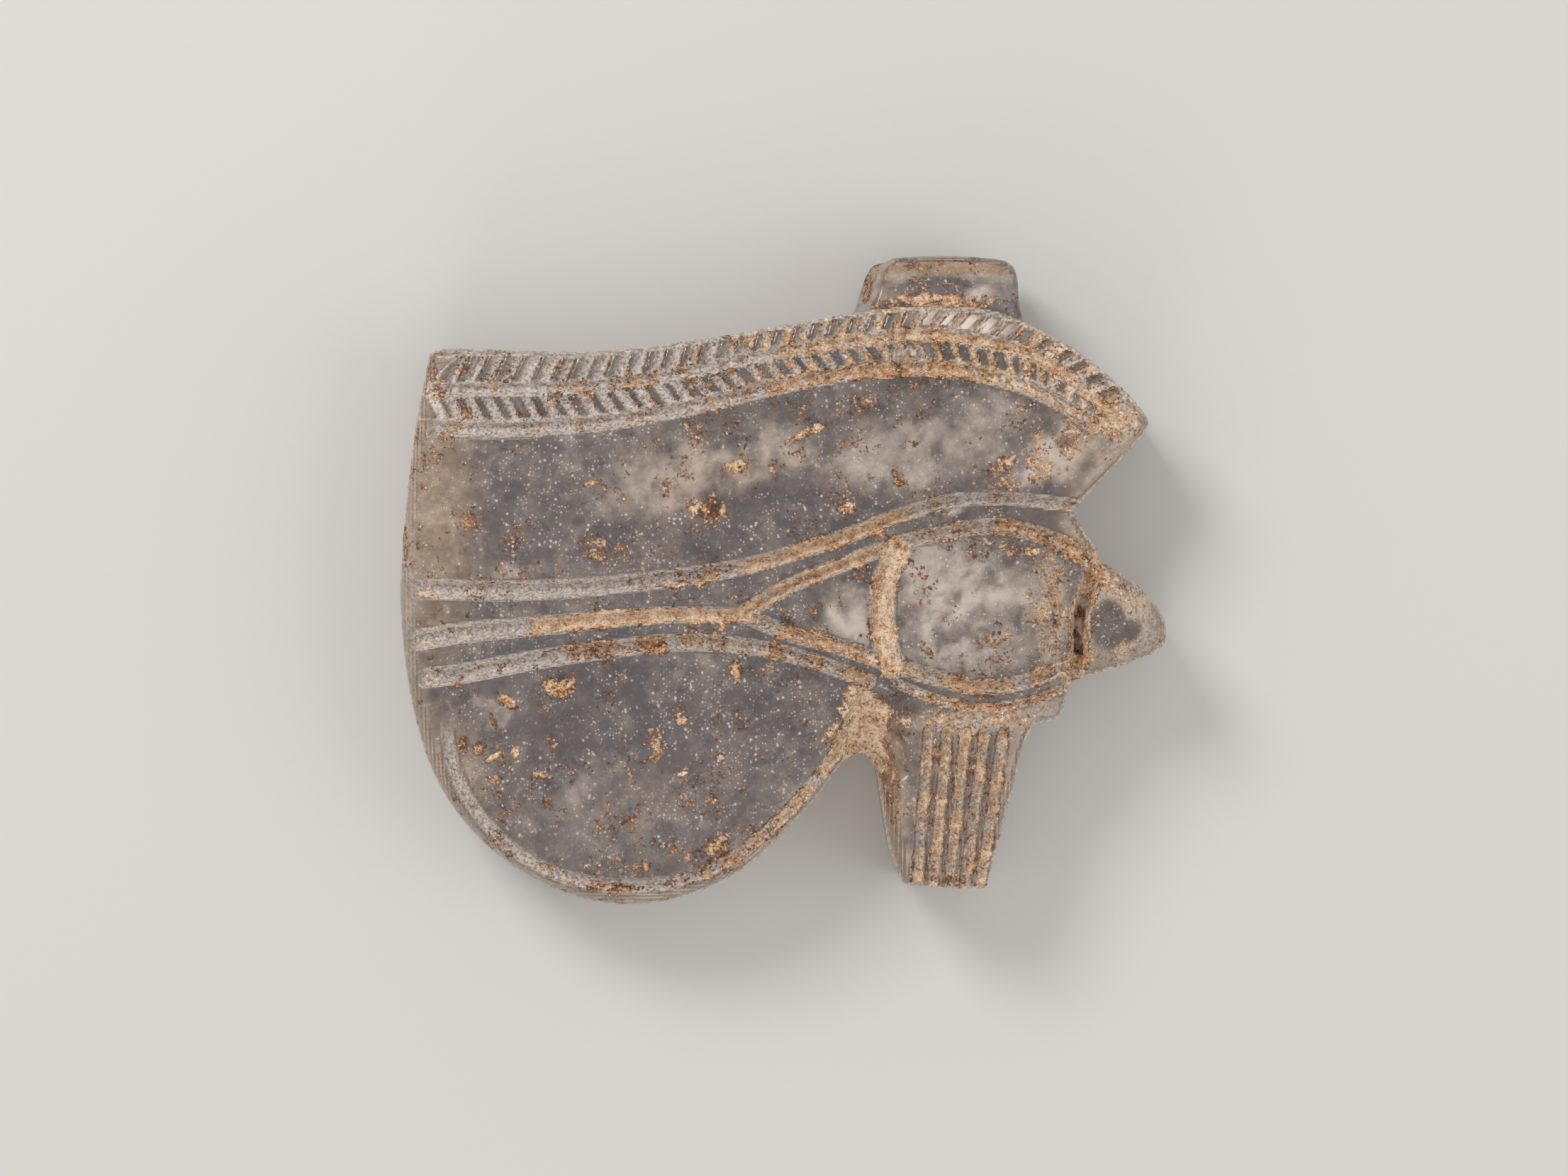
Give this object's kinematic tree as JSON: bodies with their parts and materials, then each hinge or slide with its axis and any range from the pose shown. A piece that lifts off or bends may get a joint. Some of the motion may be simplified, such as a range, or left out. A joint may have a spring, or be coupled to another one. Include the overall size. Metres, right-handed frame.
{
  "type": "wedjat eye amulet",
  "caption": "Flat-backed carved eye amulet in clear rock crystal, with hatched brow, fluted tear, curled loop and a pierced lug for a cord.",
  "frame": {"origin": "the middle of the amulet's box in plan, on the plane of its flat back", "axes": "+X from the loop to the corner piece, +Y from the tear to the lug, +Z out of the carved face"},
  "size_m": [0.036, 0.0306, 0.0072],
  "materials": {
    "rock_crystal": "clear, slightly smoky rock crystal, polished on the faces and frosted in the carved lines, with tan burial crust in the recesses"
  },
  "bodies": {
    "root": {"wedjat_eye": "rock_crystal"}
  },
  "joints": []
}
